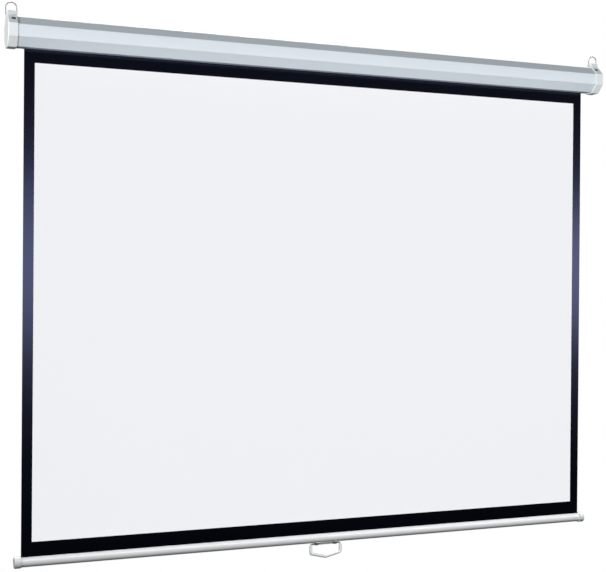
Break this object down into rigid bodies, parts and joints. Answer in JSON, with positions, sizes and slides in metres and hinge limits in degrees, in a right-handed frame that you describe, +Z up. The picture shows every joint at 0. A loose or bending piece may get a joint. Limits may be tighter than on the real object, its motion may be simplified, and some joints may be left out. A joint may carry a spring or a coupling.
{
  "type": "pull down projector screen",
  "caption": "Manual pull down projector screen: octagonal wall casing with spring roller, black-bordered white cloth, round bottom bar and hexagonal pull handle.",
  "frame": {"origin": "on the wall that the backs of both end caps touch, in the middle of the casing's length and height", "axes": "+X along the casing, +Y out of the casing's back towards the wall, so that the picture faces -Y, and +Z up"},
  "size_m": [1.8666, 0.083, 1.5472],
  "materials": {
    "casing_paint": "satin white powder coat",
    "cap_plastic": "semi gloss white moulding",
    "screw_steel": "zinc plated",
    "bail_wire": "bright plated wire",
    "roller_steel": "galvanised",
    "spline_plastic": "natural",
    "plug_plastic": "dark grey moulding",
    "pin_steel": "bright turned steel",
    "bush_nylon": "natural nylon",
    "spindle_steel": "drawn steel",
    "ratchet_steel": "pressed steel",
    "pawl_steel": "yellow zinc plated",
    "clip_steel": "blackened spring steel",
    "spring_steel": "oiled spring steel",
    "anchor_zinc": "zinc die casting",
    "cloth_white": "matt white",
    "cloth_black": "matt black border",
    "rod_plastic": "natural",
    "bar_paint": "satin white powder coat",
    "bar_cap_plastic": "semi gloss white moulding",
    "handle_plastic": "pale grey moulding",
    "strap_steel": "zinc plated"
  },
  "bodies": {
    "casing": {"casing": "casing_paint", "end_cap_left": "cap_plastic", "end_cap_right": "cap_plastic", "cap_screw_left_upper": "screw_steel", "cap_screw_left_lower": "screw_steel", "cap_screw_right_upper": "screw_steel", "cap_screw_right_lower": "screw_steel", "idle_bush": "bush_nylon", "spindle": "spindle_steel", "ratchet_wheel": "ratchet_steel", "retaining_clip": "clip_steel", "torsion_spring": "spring_steel", "spring_anchor": "anchor_zinc", "screen_cloth": "cloth_white", "mask_left": "cloth_black", "mask_right": "cloth_black", "mask_top": "cloth_black"},
    "roller": {"roller_tube": "roller_steel", "cloth_spline": "spline_plastic", "cloth_on_roller": "cloth_white", "spring_plug": "plug_plastic", "idle_plug": "plug_plastic", "idle_pin": "pin_steel", "pawl_pin_1": "pin_steel", "pawl_pin_2": "pin_steel", "spindle_bush": "bush_nylon"},
    "pawl_1": {"pawl_1": "pawl_steel"},
    "pawl_2": {"pawl_2": "pawl_steel"},
    "bottom_bar": {"mask_bottom": "cloth_black", "hem_rod": "rod_plastic", "bottom_bar": "bar_paint", "bar_cap_left": "bar_cap_plastic", "bar_cap_right": "bar_cap_plastic", "handle_strap_left": "strap_steel", "handle_strap_right": "strap_steel", "strap_rivet_left_front": "strap_steel", "strap_rivet_left_back": "strap_steel", "strap_rivet_right_front": "strap_steel", "strap_rivet_right_back": "strap_steel"},
    "pull_handle": {"pull_handle": "handle_plastic"},
    "bail_left": {"bail_left": "bail_wire"},
    "bail_right": {"bail_right": "bail_wire"}
  },
  "joints": [
    {"name": "screen_slide", "type": "slide", "parent": "casing", "child": "bottom_bar", "axis": [0, 0, 1], "range_m": [0, 1.3458], "deforming": ["screen_cloth", "mask_left", "mask_right", "mask_top"]},
    {"name": "roller_turn", "type": "hinge", "parent": "casing", "child": "roller", "pos_m": [0, -0.05075, 0], "axis": [1, 0, 0], "range_deg": [0, 3780]},
    {"name": "pawl_1_swing", "type": "hinge", "parent": "roller", "child": "pawl_1", "pos_m": [-0.9006, -0.05075, 0.013], "axis": [1, 0, 0], "range_deg": [0, 24.5]},
    {"name": "pawl_2_swing", "type": "hinge", "parent": "roller", "child": "pawl_2", "pos_m": [-0.9006, -0.05075, -0.013], "axis": [1, 0, 0], "range_deg": [0, 24.5]},
    {"name": "handle_swing", "type": "hinge", "parent": "bottom_bar", "child": "pull_handle", "pos_m": [0, -0.03035, -1.4241], "axis": [1, 0, 0], "range_deg": [-80, 80]},
    {"name": "bail_left_swing", "type": "hinge", "parent": "casing", "child": "bail_left", "pos_m": [-0.9175, -0.0415, 0.0463], "axis": [1, 0, 0], "range_deg": [-90, 90]},
    {"name": "bail_right_swing", "type": "hinge", "parent": "casing", "child": "bail_right", "pos_m": [0.9175, -0.0415, 0.0463], "axis": [1, 0, 0], "range_deg": [-90, 90]}
  ],
  "couplings": [
    {"joint": "roller_turn", "follows": "screen_slide", "rad_per_m": 49.02}
  ]
}
